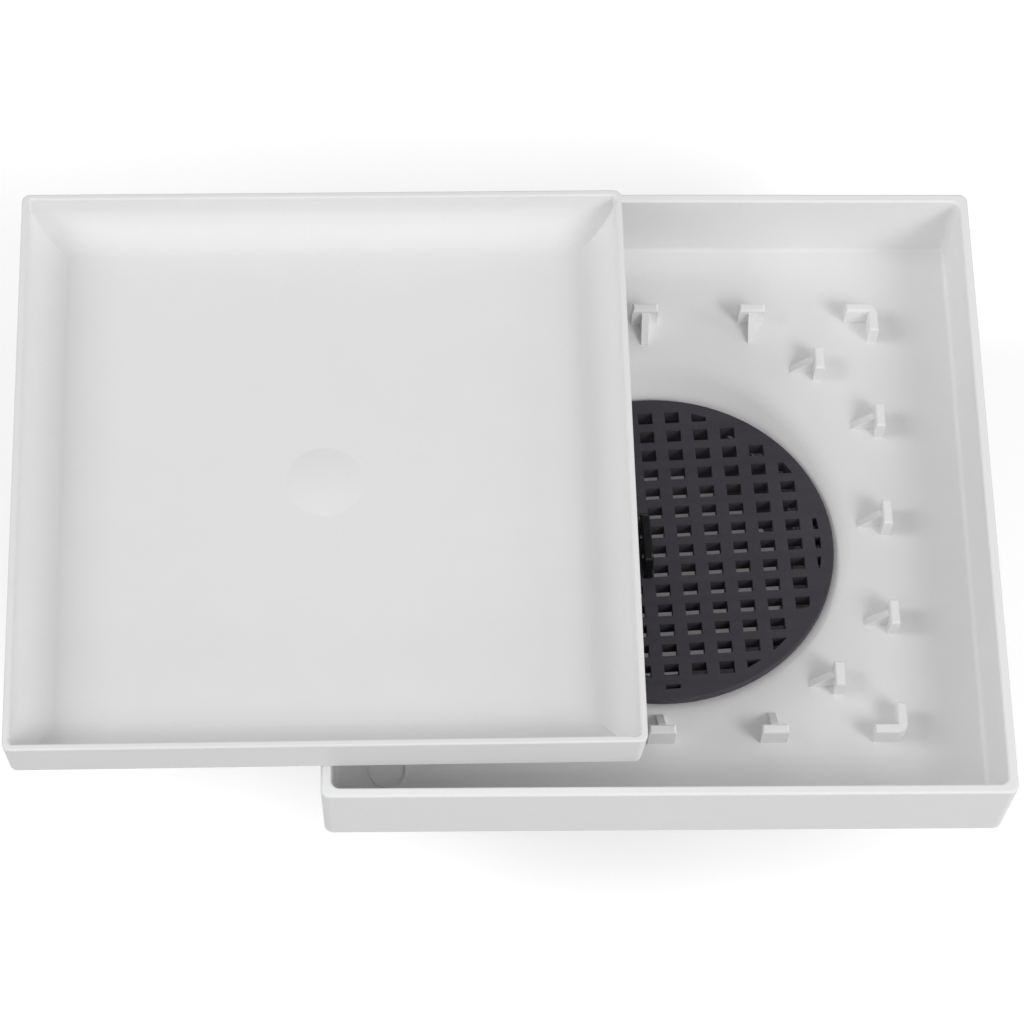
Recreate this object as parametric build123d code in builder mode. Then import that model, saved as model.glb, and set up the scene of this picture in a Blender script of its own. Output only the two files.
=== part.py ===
from build123d import *
import os
from math import cos, sin, tan, radians, hypot

os.makedirs("parts", exist_ok=True)

# ---------------------------------------------------------------------------
# Driving dimensions, millimetres.
# Origin: on the outlet's axis, at the lower end of the outlet spigot. +Z up.
# ---------------------------------------------------------------------------

# outlet
outlet_drop = 40.0          # underside of the base above the spigot's lower end
spigot_r = 37.5             # outside radius, 75 mm waste pipe size
bore_r = 35.2               # waterway radius inside the spigot
bore_chamfer = 0.8

# base box
base_size = 150.0           # outside, at the rim
base_draft = 0.5            # how much each wall leans in at its foot
base_height = 22.6
base_wall = 2.2             # at the rim
base_wall_foot = 0.7        # extra wall thickness at the foot
base_corner_r = 2.0
base_inner_corner = 1.5     # inside upright corners at the floor
base_floor = 1.8
base_floor_fillet = 1.0     # inside, between wall and floor
base_rim_round = 0.6
base_foot_round = 0.8

# dished floor and strainer seat, heights measured from the base's underside
dish_r = 62.0               # where the floor starts to fall
shoulder_r = 54.0           # end of the rounded shoulder, start of the even slope
shoulder_drop = 0.47
ring_r = 43.4               # where the floor turns down into the conical seat
ring_z = 0.1
ring_round = 8.0            # the turn is soft
seat_slope = 40.0           # degrees, the cone that the strainer lies on
ledge_r = 33.8              # opening through the seat
ledge_deep = 1.6
seat_thick = 2.0

# plain moulded ring in a corner of the floor
mark_x, mark_y = -60.5, -60.5
mark_r, mark_width, mark_high = 4.3, 0.6, 0.3

# support tabs
tab_top = 7.5               # above the base's underside
tab_pitch = 25.0
tab_out = 54.4              # outer face of the tabs next to the walls
tab_thick = 2.2
tab_long = 6.0
corner_leg = 7.3
corner_round = 2.4
diag_at = 40.0              # centre of the four inner tabs, in X and in Y
diag_long = 5.8
gusset_thick = 1.6
gusset_run = 5.1            # from the plate's inner face to the toe
gusset_top = 6.4
tab_edge = 0.55

# tile tray, lying on the base's rim, drawn off to the left
tray_size = 136.2
tray_height = 13.1
tray_draft = 0.6
tray_corner_r = 1.8
tray_wall = 1.5
tray_floor = 1.6
tray_inner_r = 8.0          # inside radius between wall and floor
tray_wall_lean = 0.5
tray_inner_corner = 1.6
tray_rim_round = 0.45
tray_foot_round = 1.0
tray_x, tray_y = -74.26, -0.56
tray_yaw = 0.54             # degrees
boss_r = 8.5                # shallow round boss at the tray's centre
boss_h = 0.75

# strainer, a loose plate that has slid up one side of its conical seat
grille_r = 40.3
grille_thick = 2.0          # at the rim
grille_x, grille_y = 1.2, -5.0
grille_rest = -2.438        # middle of its underside, from the base's underside
grille_tilt = 6.08          # degrees, up on the side that it has slid to
grille_turn = 2.75          # degrees, as it happens to lie
grid_r = 37.7               # the grid's bars are deeper than the rim
grid_deep = 3.6
hole_x, hole_y = 3.35, 3.05
pitch_x, pitch_y = 6.246, 5.195
web_x, web_y = -2.853, -1.460    # on the plate: the web with the pull tab, at a row of holes
field_r = 37.4              # the holes stay inside this radius
grille_edge = 0.4

# pull tab on the strainer's middle web
pull_thick = 2.2
pull_long = 14.0
pull_high = 8.0
pull_round = 2.4
pull_edge = 0.5
pull_back = 0.0             # along the web, from the row of holes

base_z = outlet_drop
floor_z = base_z + base_floor
rim_z = base_z + base_height


# ---------------------------------------------------------------------------
# Support tabs: plates and gussets that stand on the base's floor
# ---------------------------------------------------------------------------
tab_mid = tab_out - tab_thick / 2
tab_foot = base_z + 0.5
deep_foot = base_z - 0.3    # for the tabs that stand on the dished part
tab_height = base_z + tab_top - tab_foot
deep_height = base_z + tab_top - deep_foot

side_spots = (-tab_pitch, 0.0, tab_pitch)
x_plates = [(s, y) for s in side_spots for y in (-tab_mid, tab_mid)]
y_plates = [(x, s) for s in side_spots for x in (-tab_mid, tab_mid)]
diag_plates = [(x, y) for x in (-diag_at, diag_at) for y in (-diag_at, diag_at)]


def floor_at(r):
    """Height of the floor above the base's underside, at radius r from the outlet axis."""
    if r >= dish_r:
        return base_floor
    if r >= shoulder_r:
        return base_floor - shoulder_drop * ((dish_r - r) / (dish_r - shoulder_r)) ** 2
    t = (shoulder_r - r) / (shoulder_r - ring_r)
    return (base_floor - shoulder_drop) * (1 - t) + ring_z * t


# each gusset: plate centre and the direction from the plate towards the outlet
gussets = [(x, y, 0.0, -1.0 if y > 0 else 1.0) for x, y in x_plates]
gussets += [(x, y, -1.0 if x > 0 else 1.0, 0.0) for x, y in y_plates]
gussets += [(x, y, -1.0 if x > 0 else 1.0, 0.0) for x, y in diag_plates]

with BuildPart() as plates:
    with BuildSketch(Plane.XY.offset(tab_foot)):
        with Locations(*[p for p in x_plates if p[0] != 0]):
            Rectangle(tab_long, tab_thick)
        with Locations(*[p for p in y_plates if p[1] != 0]):
            Rectangle(tab_thick, tab_long)
    extrude(amount=tab_height)
    with BuildSketch(Plane.XY.offset(deep_foot)):
        with Locations(*[p for p in x_plates if p[0] == 0]):
            Rectangle(tab_long, tab_thick)
        with Locations(*[p for p in y_plates if p[1] == 0]):
            Rectangle(tab_thick, tab_long)
        with Locations(*diag_plates):
            Rectangle(tab_thick, diag_long)
    extrude(amount=deep_height)
    for sx in (-1, 1):
        for sy in (-1, 1):
            with BuildSketch(Plane.XY.offset(tab_foot)) as leg:
                with BuildLine():
                    Polyline(
                        (sx * tab_out, sy * tab_out),
                        (sx * (tab_out - corner_leg), sy * tab_out),
                        (sx * (tab_out - corner_leg), sy * (tab_out - tab_thick)),
                        (sx * (tab_out - tab_thick), sy * (tab_out - tab_thick)),
                        (sx * (tab_out - tab_thick), sy * (tab_out - corner_leg)),
                        (sx * tab_out, sy * (tab_out - corner_leg)),
                        close=True,
                    )
                make_face()
                outer = leg.vertices().sort_by(lambda v: hypot(v.X, v.Y))[-1]
                fillet(outer, radius=corner_round)
            extrude(amount=tab_height)
    tops = plates.faces().group_by(Axis.Z)[-1]
    fillet(tops.edges(), radius=tab_edge)

with BuildPart() as ribs:
    for gx, gy, dx, dy in gussets:
        # each toe follows the fall of the floor
        toe = tab_thick / 2 + gusset_run
        toe_floor = floor_at(hypot(gx + dx * toe, gy + dy * toe))
        toe_foot = toe_floor - 0.9
        toe_top = toe_floor + 0.3
        with BuildSketch(Plane(origin=(gx, gy, base_z), x_dir=(dx, dy, 0), z_dir=(dy, -dx, 0))):
            with BuildLine():
                Polyline(
                    (0.0, 0.3),
                    (toe, toe_foot),
                    (toe, toe_top),
                    (tab_thick / 2 + 0.6, gusset_top),
                    (0.0, gusset_top),
                    close=True,
                )
            make_face()
        extrude(amount=gusset_thick / 2, both=True)


# ---------------------------------------------------------------------------
# Base: box, dished floor, conical strainer seat and spigot in one moulding
# ---------------------------------------------------------------------------
foot_size = base_size - 2 * base_draft
inner_top = base_size - 2 * base_wall
inner_foot = inner_top - 2 * base_wall_foot
seat_fall = tan(radians(seat_slope))
ledge_z = base_z + ring_z - (ring_r - ledge_r) * seat_fall

with BuildPart() as base:
    # walls and floor
    with BuildSketch(Plane.XY.offset(base_z)):
        RectangleRounded(foot_size, foot_size, base_corner_r)
    with BuildSketch(Plane.XY.offset(rim_z)):
        RectangleRounded(base_size, base_size, base_corner_r)
    loft()
    with BuildSketch(Plane.XY.offset(floor_z)):
        RectangleRounded(inner_foot, inner_foot, base_inner_corner)
    with BuildSketch(Plane.XY.offset(rim_z)):
        RectangleRounded(inner_top, inner_top, base_corner_r)
    loft(mode=Mode.SUBTRACT)
    crease = (
        base.edges()
        .filter_by_position(Axis.Z, floor_z - 0.01, floor_z + 0.01)
    )
    fillet(crease, radius=base_floor_fillet)
    foot = base.edges().filter_by_position(Axis.Z, base_z - 0.01, base_z + 0.01)
    fillet(foot, radius=base_foot_round)
    rim = base.edges().filter_by_position(Axis.Z, rim_z - 0.01, rim_z + 0.01)
    fillet(rim, radius=base_rim_round)

    # dish and spigot, outside
    with BuildSketch(Plane.XZ):
        with BuildLine():
            Polyline(
                (0, base_z + 0.6),
                (dish_r + 2, base_z + 0.6),
                (dish_r + 2, base_z),
                (ring_r + 1.0, base_z + ring_z - seat_thick),
                (spigot_r, base_z + ring_z - seat_thick - (ring_r + 1.0 - spigot_r) * seat_fall),
                (spigot_r, 0),
                (0, 0),
                close=True,
            )
        make_face()
    revolve(axis=Axis.Z)

    # dish, strainer seat and waterway, inside
    with BuildSketch(Plane.XZ):
        with BuildLine():
            m1 = Polyline((0, base_z + 5), (dish_r, base_z + 5), (dish_r, floor_z))
            m2 = TangentArc(
                m1 @ 1, (shoulder_r, floor_z - shoulder_drop), tangent=(-1, 0)
            )
            Polyline(
                m2 @ 1,
                (ring_r, base_z + ring_z),
                (ledge_r, ledge_z),
                (ledge_r, ledge_z - ledge_deep),
                (bore_r, ledge_z - ledge_deep - (bore_r - ledge_r)),
                (bore_r, bore_chamfer),
                (bore_r + bore_chamfer, 0),
                (bore_r + bore_chamfer, -1),
                (0, -1),
                m1 @ 0,
            )
        make_face()
    revolve(axis=Axis.Z, mode=Mode.SUBTRACT)
    ring_edge = base.edges().filter_by(GeomType.CIRCLE).filter_by_position(
        Axis.Z, base_z + ring_z - 0.01, base_z + ring_z + 0.01
    )
    fillet(ring_edge, radius=ring_round)

    # moulded ring
    with BuildSketch(Plane.XY.offset(floor_z - 0.3)):
        with Locations((mark_x, mark_y)):
            Circle(mark_r)
            Circle(mark_r - mark_width, mode=Mode.SUBTRACT)
    extrude(amount=0.3 + mark_high)

    # tabs
    add(plates.part)
    add(ribs.part)
base.part.label = "drain_base"


# ---------------------------------------------------------------------------
# Tile tray
# ---------------------------------------------------------------------------
yaw = radians(tray_yaw)
tray_frame = Plane(
    origin=(tray_x, tray_y, rim_z), x_dir=(cos(yaw), sin(yaw), 0), z_dir=(0, 0, 1)
)
tray_foot = tray_size - 2 * tray_draft
half_rim = tray_size / 2 - tray_wall
half_foot = half_rim - tray_wall_lean
over = 2.0                  # the hollow's tools run this far past the rim
lean_over = tray_wall_lean * over / (tray_height - tray_floor)

# section of the hollow: leaning walls and a large radius down to the floor
across = Plane(origin=tray_frame.origin, x_dir=tray_frame.x_dir, z_dir=-tray_frame.y_dir)
along = Plane(origin=tray_frame.origin, x_dir=tray_frame.y_dir, z_dir=tray_frame.x_dir)

with BuildPart() as hollow:
    for number, section in enumerate((across, along)):
        with BuildSketch(section) as profile:
            with BuildLine():
                Polyline(
                    (-half_foot, tray_floor),
                    (half_foot, tray_floor),
                    (half_rim + lean_over, tray_height + over),
                    (-half_rim - lean_over, tray_height + over),
                    close=True,
                )
            make_face()
            low = profile.vertices().group_by(Axis.Y)[0]
            fillet(low, radius=tray_inner_r)
        extrude(
            amount=tray_size,
            both=True,
            mode=Mode.ADD if number == 0 else Mode.INTERSECT,
        )
    # the hollow's upright corners
    with BuildSketch(tray_frame):
        RectangleRounded(2 * half_rim + 0.4, 2 * half_rim + 0.4, tray_inner_corner)
    extrude(amount=tray_height + over, mode=Mode.INTERSECT)

with BuildPart() as tray:
    with BuildSketch(tray_frame):
        RectangleRounded(tray_foot, tray_foot, tray_corner_r)
    with BuildSketch(tray_frame.offset(tray_height)):
        RectangleRounded(tray_size, tray_size, tray_corner_r)
    loft()
    foot = tray.edges().filter_by_position(Axis.Z, rim_z - 0.01, rim_z + 0.01)
    fillet(foot, radius=tray_foot_round)
    add(hollow.part, mode=Mode.SUBTRACT)
    top_z = rim_z + tray_height
    rim = tray.edges().filter_by_position(Axis.Z, top_z - 0.01, top_z + 0.01)
    fillet(rim, radius=tray_rim_round)
    # shallow domed boss at the centre of the floor
    boss_sphere_r = (boss_r**2 + boss_h**2) / (2 * boss_h)
    with BuildSketch(across):
        with BuildLine():
            b1 = ThreePointArc(
                (0, tray_floor + boss_h),
                (
                    boss_r / 2,
                    tray_floor + boss_h - boss_sphere_r
                    + (boss_sphere_r**2 - (boss_r / 2) ** 2) ** 0.5,
                ),
                (boss_r, tray_floor),
            )
            Polyline(b1 @ 1, (boss_r, tray_floor - 0.4), (0, tray_floor - 0.4), b1 @ 0)
        make_face()
    revolve(axis=Axis(tray_frame.origin, tray_frame.z_dir))
tray.part.label = "tile_tray"


# ---------------------------------------------------------------------------
# Strainer
# ---------------------------------------------------------------------------
turn = radians(grille_turn)
tilt = radians(grille_tilt)
slid = hypot(grille_x, grille_y)
lean_x, lean_y = -sin(tilt) * grille_x / slid, -sin(tilt) * grille_y / slid
row_rise = -(cos(turn) * lean_x + sin(turn) * lean_y) / cos(tilt)
plate_frame = Plane(
    origin=(grille_x, grille_y, base_z + grille_rest),
    x_dir=(cos(turn), sin(turn), row_rise),
    z_dir=(lean_x, lean_y, cos(tilt)),
)

columns = [web_x + (i + 0.5) * pitch_x for i in range(-7, 8)]
rows = [web_y + j * pitch_y for j in range(-9, 10)]
hole_spots = []
for cx in columns:
    for cy in rows:
        # keep a hole when a useful piece of it lies inside the field
        near_x = max(abs(cx) - hole_x / 2, 0) + 0.8
        near_y = max(abs(cy) - hole_y / 2, 0) + 0.8
        if hypot(near_x, near_y) < field_r:
            hole_spots.append((cx, cy))

with BuildPart() as grille:
    with BuildSketch(plate_frame):
        Circle(grille_r)
    extrude(amount=grille_thick)
    fillet(grille.edges().filter_by(GeomType.CIRCLE), radius=grille_edge)
    with BuildSketch(plate_frame.offset(grille_thick - grid_deep)):
        Circle(grid_r)
    extrude(amount=grid_deep - grille_thick / 2)
    with BuildSketch(plate_frame.offset(grille_thick - grid_deep)):
        with Locations(*hole_spots):
            Rectangle(hole_x, hole_y)
        Circle(field_r, mode=Mode.INTERSECT)
    extrude(amount=grid_deep, mode=Mode.SUBTRACT)
grille.part.label = "strainer_grille"


# ---------------------------------------------------------------------------
# Pull tab on the strainer's middle web
# ---------------------------------------------------------------------------
pull_foot = plate_frame.from_local_coords(Vector(web_x, web_y + pull_back, grille_thick))
pull_plane = Plane(origin=pull_foot, x_dir=plate_frame.y_dir, z_dir=plate_frame.x_dir)
with BuildPart() as pull:
    with BuildSketch(pull_plane) as outline:
        with BuildLine():
            Polyline(
                (-pull_long / 2, 0),
                (pull_long / 2, 0),
                (pull_long / 2 - 0.6, pull_high),
                (-pull_long / 2 + 0.6, pull_high),
                close=True,
            )
        make_face()
        fillet(outline.vertices().group_by(Axis.Y)[-1], radius=pull_round)
    extrude(amount=pull_thick / 2, both=True)
    sides = pull.faces().sort_by(Axis.X)
    upper = pull.edges().filter_by_position(
        Axis.Z, pull_foot.Z + 0.15, pull_foot.Z + pull_high + 0.5
    )
    long_edges = [e for e in upper if e in sides[0].edges() or e in sides[-1].edges()]
    fillet(long_edges, radius=pull_edge)
pull.part.label = "grille_pull_tab"


export_step(base.part, "parts/drain_base.step")
export_step(tray.part, "parts/tile_tray.step")
export_step(grille.part, "parts/strainer_grille.step")
export_step(pull.part, "parts/grille_pull_tab.step")
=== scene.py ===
import math

import bpy
from mathutils import Euler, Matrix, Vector

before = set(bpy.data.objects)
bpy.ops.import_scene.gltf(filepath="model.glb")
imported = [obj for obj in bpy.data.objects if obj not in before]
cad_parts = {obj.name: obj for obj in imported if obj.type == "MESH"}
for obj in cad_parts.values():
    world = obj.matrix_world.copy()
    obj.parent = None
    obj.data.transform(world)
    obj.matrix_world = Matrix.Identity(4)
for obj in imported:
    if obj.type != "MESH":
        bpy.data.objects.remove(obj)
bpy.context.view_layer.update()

scene = bpy.context.scene

# ---------------------------------------------------------------------------
# Small node helpers
# ---------------------------------------------------------------------------


def new_material(name):
    mat = bpy.data.materials.new(name)
    mat.use_nodes = True
    nt = mat.node_tree
    nt.nodes.clear()
    out = nt.nodes.new("ShaderNodeOutputMaterial")
    bsdf = nt.nodes.new("ShaderNodeBsdfPrincipled")
    nt.links.new(bsdf.outputs["BSDF"], out.inputs["Surface"])
    return mat, nt, bsdf


def place(nt, scale=(1, 1, 1), turn=0.0, shift=(0, 0, 0)):
    """Object coordinates, in metres, scaled, turned and shifted."""
    co = nt.nodes.new("ShaderNodeTexCoord")
    mp = nt.nodes.new("ShaderNodeMapping")
    mp.inputs["Scale"].default_value = scale
    mp.inputs["Rotation"].default_value = (0, 0, turn)
    mp.inputs["Location"].default_value = shift
    nt.links.new(co.outputs["Object"], mp.inputs["Vector"])
    return mp.outputs["Vector"]


def noise(nt, vec, scale, detail=2.0, rough=0.5):
    n = nt.nodes.new("ShaderNodeTexNoise")
    n.inputs["Scale"].default_value = scale
    n.inputs["Detail"].default_value = detail
    n.inputs["Roughness"].default_value = rough
    nt.links.new(vec, n.inputs["Vector"])
    return n.outputs["Fac"]


def span(nt, fac, lo, hi, a=0.3, b=0.7):
    """Maps fac from a..b to lo..hi."""
    m = nt.nodes.new("ShaderNodeMapRange")
    m.inputs["From Min"].default_value = a
    m.inputs["From Max"].default_value = b
    m.inputs["To Min"].default_value = lo
    m.inputs["To Max"].default_value = hi
    nt.links.new(fac, m.inputs["Value"])
    return m.outputs["Result"]


def maths(nt, op, a, b):
    m = nt.nodes.new("ShaderNodeMath")
    m.operation = op
    for sock, v in zip(m.inputs, (a, b)):
        if isinstance(v, (int, float)):
            sock.default_value = v
        else:
            nt.links.new(v, sock)
    return m.outputs["Value"]


def ramp(nt, fac, stops):
    r = nt.nodes.new("ShaderNodeValToRGB")
    el = r.color_ramp.elements
    while len(el) < len(stops):
        el.new(0.5)
    for e, (pos, col) in zip(el, stops):
        e.position = pos
        e.color = (*col, 1)
    nt.links.new(fac, r.inputs["Fac"])
    return r.outputs["Color"]


def bump(nt, height, strength, distance, below=None):
    b = nt.nodes.new("ShaderNodeBump")
    b.inputs["Strength"].default_value = strength
    b.inputs["Distance"].default_value = distance
    nt.links.new(height, b.inputs["Height"])
    if below is not None:
        nt.links.new(below, b.inputs["Normal"])
    return b.outputs["Normal"]


# ---------------------------------------------------------------------------
# Materials
# ---------------------------------------------------------------------------


def white_plastic(name, level, seed, painted_outlet_shade=False):
    """Satin white moulded plastic: faint clouding, uneven gloss, fine mould grain
    and the slight waviness of a thin moulding. With the outlet shade switched on, the
    inside of the outlet below the strainer is painted near-black as shade."""
    mat, nt, bsdf = new_material(name)
    vec = place(nt, shift=(seed, seed * 0.7, -seed))
    cloud = noise(nt, vec, 14, 3, 0.55)
    mottle = noise(nt, vec, 110, 4, 0.6)
    speck = noise(nt, vec, 900, 2, 0.5)
    tone = maths(nt, "ADD", maths(nt, "MULTIPLY", cloud, 0.6), maths(nt, "MULTIPLY", mottle, 0.3))
    tone = maths(nt, "ADD", tone, maths(nt, "MULTIPLY", speck, 0.1))
    lo, hi = level * 0.975, level * 1.02
    stops = [(0.3, (lo, lo, lo * 0.998)), (0.7, (hi, hi, hi))]
    if painted_outlet_shade:
        # painted shade: inside r 35.6 mm and below z 30 mm the bore is coloured near-black where it lies in
        # shade under the strainer
        around = nt.nodes.new("ShaderNodeVectorMath")
        around.operation = "LENGTH"
        nt.links.new(place(nt, scale=(1, 1, 0)), around.inputs[0])
        bore_shade_mask = span(nt, around.outputs["Value"], 1.0, 0.0, 0.0356, 0.0366)
        height = nt.nodes.new("ShaderNodeSeparateXYZ")
        nt.links.new(place(nt), height.inputs["Vector"])
        below = span(nt, height.outputs["Z"], 1.0, 0.0, 0.0300, 0.0322)
        tone = maths(nt, "SUBTRACT", tone, maths(nt, "MULTIPLY", bore_shade_mask, below))
        # the near-black first stop is the painted shade of the bore
        stops = [(0.0, (0.022, 0.022, 0.024))] + [(0.28, stops[0][1]), stops[1]]
    col = ramp(nt, tone, stops)
    nt.links.new(col, bsdf.inputs["Base Color"])
    gloss = maths(nt, "ADD", maths(nt, "MULTIPLY", mottle, 0.5), maths(nt, "MULTIPLY", cloud, 0.5))
    nt.links.new(span(nt, gloss, 0.46, 0.58), bsdf.inputs["Roughness"])
    bsdf.inputs["IOR"].default_value = 1.5
    bsdf.inputs["Specular IOR Level"].default_value = 0.2
    wave = noise(nt, vec, 32, 1, 0.4)
    grain = noise(nt, vec, 2600, 3, 0.6)
    n1 = bump(nt, wave, 0.12, 0.0006)
    n2 = bump(nt, grain, 0.06, 0.00008, n1)
    nt.links.new(n2, bsdf.inputs["Normal"])
    return mat


def grey_plastic(name):
    """Matte dark grey plate, slightly purple, with faint drawn streaks along its rows."""
    mat, nt, bsdf = new_material(name)
    rows = place(nt, turn=math.radians(-2.75))
    stretch = nt.nodes.new("ShaderNodeMapping")
    stretch.inputs["Scale"].default_value = (28, 430, 60)
    nt.links.new(rows, stretch.inputs["Vector"])
    streak = noise(nt, stretch.outputs["Vector"], 1.0, 3, 0.55)
    cloud = noise(nt, place(nt), 60, 3, 0.5)
    fine = noise(nt, place(nt), 1400, 2, 0.6)
    tone = maths(nt, "ADD", maths(nt, "MULTIPLY", streak, 0.5), maths(nt, "MULTIPLY", cloud, 0.3))
    tone = maths(nt, "ADD", tone, maths(nt, "MULTIPLY", fine, 0.2))
    col = ramp(nt, tone, [(0.3, (0.045, 0.0415, 0.051)), (0.7, (0.064, 0.059, 0.072))])
    nt.links.new(col, bsdf.inputs["Base Color"])
    nt.links.new(span(nt, tone, 0.5, 0.64), bsdf.inputs["Roughness"])
    bsdf.inputs["Specular IOR Level"].default_value = 0.28
    n1 = bump(nt, streak, 0.10, 0.0003)
    n2 = bump(nt, fine, 0.10, 0.00008, n1)
    nt.links.new(n2, bsdf.inputs["Normal"])
    return mat


def black_plastic(name):
    """Glossy black moulding with a trace of handling haze."""
    mat, nt, bsdf = new_material(name)
    haze = noise(nt, place(nt), 260, 4, 0.6)
    col = ramp(nt, haze, [(0.35, (0.004, 0.004, 0.0045)), (0.7, (0.009, 0.009, 0.0095))])
    nt.links.new(col, bsdf.inputs["Base Color"])
    nt.links.new(span(nt, haze, 0.12, 0.26), bsdf.inputs["Roughness"])
    bsdf.inputs["Specular IOR Level"].default_value = 0.24
    fine = noise(nt, place(nt), 1800, 2, 0.5)
    nt.links.new(bump(nt, fine, 0.04, 0.00006), bsdf.inputs["Normal"])
    return mat


def floor_paint(name):
    mat, nt, bsdf = new_material(name)
    cloud = noise(nt, place(nt), 2.2, 3, 0.5)
    col = ramp(nt, cloud, [(0.3, (0.90, 0.90, 0.90)), (0.7, (0.925, 0.925, 0.925))])
    nt.links.new(col, bsdf.inputs["Base Color"])
    nt.links.new(span(nt, cloud, 0.75, 0.85), bsdf.inputs["Roughness"])
    bsdf.inputs["Specular IOR Level"].default_value = 0.1
    # painted light: the floor itself glows, at 0.10 under the drain and 0.30 from 85 mm out, lifting it to
    # white and washing out the drain's shadow on it
    co = nt.nodes.new("ShaderNodeTexCoord")
    far = nt.nodes.new("ShaderNodeVectorMath")
    far.operation = "LENGTH"
    nt.links.new(co.outputs["Object"], far.inputs[0])
    bsdf.inputs["Emission Color"].default_value = (1, 1, 1, 1)
    nt.links.new(span(nt, far.outputs["Value"], 0.10, 0.30, 0.045, 0.085), bsdf.inputs["Emission Strength"])
    return mat


def dress(node, mat):
    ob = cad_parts[node]
    ob.data.materials.clear()
    ob.data.materials.append(mat)


dress("drain_base", white_plastic("white_base", 0.835, 0.37, painted_outlet_shade=True))
dress("tile_tray", white_plastic("white_tray", 0.80, 1.91))
dress("strainer_grille", grey_plastic("grey_grille"))
dress("grille_pull_tab", black_plastic("black_tab"))

# ---------------------------------------------------------------------------
# Floor, light and camera
# ---------------------------------------------------------------------------
me = bpy.data.meshes.new("studio_floor")
s = 6.0
me.from_pydata([(-s, -s, 0), (s, -s, 0), (s, s, 0), (-s, s, 0)], [], [(0, 1, 2, 3)])
floor = bpy.data.objects.new("studio_floor", me)
scene.collection.objects.link(floor)
me.materials.append(floor_paint("pale_floor"))
floor.location.z = -0.0002
floor.visible_diffuse = False

world = bpy.data.worlds.new("studio")
scene.world = world
world.use_nodes = True
bg = world.node_tree.nodes["Background"]
bg.inputs["Color"].default_value = (1, 1, 1, 1)
bg.inputs["Strength"].default_value = 0.40


def softbox(name, where, aim, size_x, size_y, power):
    data = bpy.data.lights.new(name, "AREA")
    data.shape = "RECTANGLE"
    data.size = size_x
    data.size_y = size_y
    data.energy = power
    ob = bpy.data.objects.new(name, data)
    scene.collection.objects.link(ob)
    ob.location = where
    ob.rotation_euler = (Vector(aim) - Vector(where)).to_track_quat("-Z", "Y").to_euler()
    return ob


target = (-0.03, 0.0, 0.05)
softbox("key_right", (0.9, -0.8, 1.1), target, 0.6, 0.6, 8.9)
softbox("fill_left", (-1.2, 0.0, 1.0), target, 0.6, 0.6, 6.0)
softbox("low_right", (1.4, -0.1, 0.65), target, 0.6, 0.5, 3.9)
softbox("low_left", (-1.5, 0.0, 0.65), target, 0.6, 0.5, 1.6)
softbox("front_left", (-0.95, -0.8, 1.1), target, 0.6, 0.6, 1.3)
softbox("front_low", (-0.03, -1.6, 0.45), target, 1.4, 0.5, 4.4)

cam_data = bpy.data.cameras.new("camera")
cam_data.sensor_width = 36.0
cam_data.lens = 3550.155 * 36.0 / 1024.0
cam_data.clip_start = 0.01
cam = bpy.data.objects.new("camera", cam_data)
scene.collection.objects.link(cam)
cam.location = (-0.061709, -0.355399, 0.728714 + 0.040)
cam.rotation_euler = Euler((0.4583, -0.0314, -0.0192), "XYZ")
scene.camera = cam

scene.view_settings.view_transform = "Standard"
scene.view_settings.look = "None"
scene.view_settings.exposure = 0.0
scene.view_settings.gamma = 1.0
